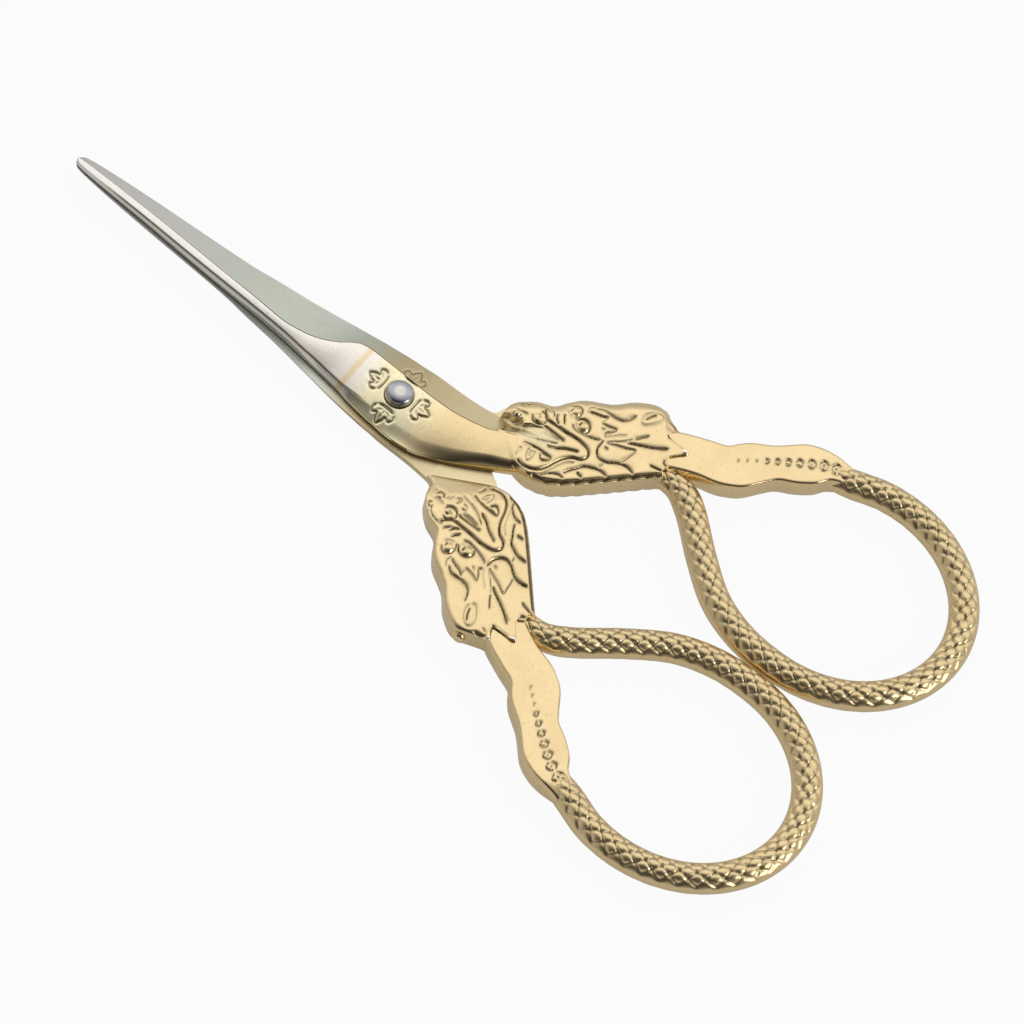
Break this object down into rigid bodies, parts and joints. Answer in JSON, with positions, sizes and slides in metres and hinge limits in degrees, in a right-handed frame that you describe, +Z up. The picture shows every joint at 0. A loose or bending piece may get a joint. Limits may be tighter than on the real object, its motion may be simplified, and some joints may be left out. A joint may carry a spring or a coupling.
{
  "type": "embroidery scissors",
  "caption": "Small gilt embroidery scissors with slim ground blades, dragon-head shanks and round scaled finger loops, hinged on a rivet.",
  "frame": {"origin": "centre of the rivet's flat tail, level with the undersides of the dragon heads, so the closed scissors lie on the plane z = 0", "axes": "+X from the rivet towards the blade tips, +Z up off the table along the rivet, +Y towards the rear half's finger loop"},
  "size_m": [0.1149, 0.0596, 0.0044],
  "materials": {
    "gilt_steel": "gold plated handle, blade ground and polished bare",
    "rivet_steel": "polished"
  },
  "bodies": {
    "rear": {"rear_half": "gilt_steel", "pivot_rivet": "rivet_steel"},
    "front": {"front_half": "gilt_steel"}
  },
  "joints": [
    {"name": "pivot", "type": "hinge", "parent": "rear", "child": "front", "pos_m": [0, 0, 0.002], "axis": [0, 0, 1], "range_deg": [0, 110]}
  ]
}
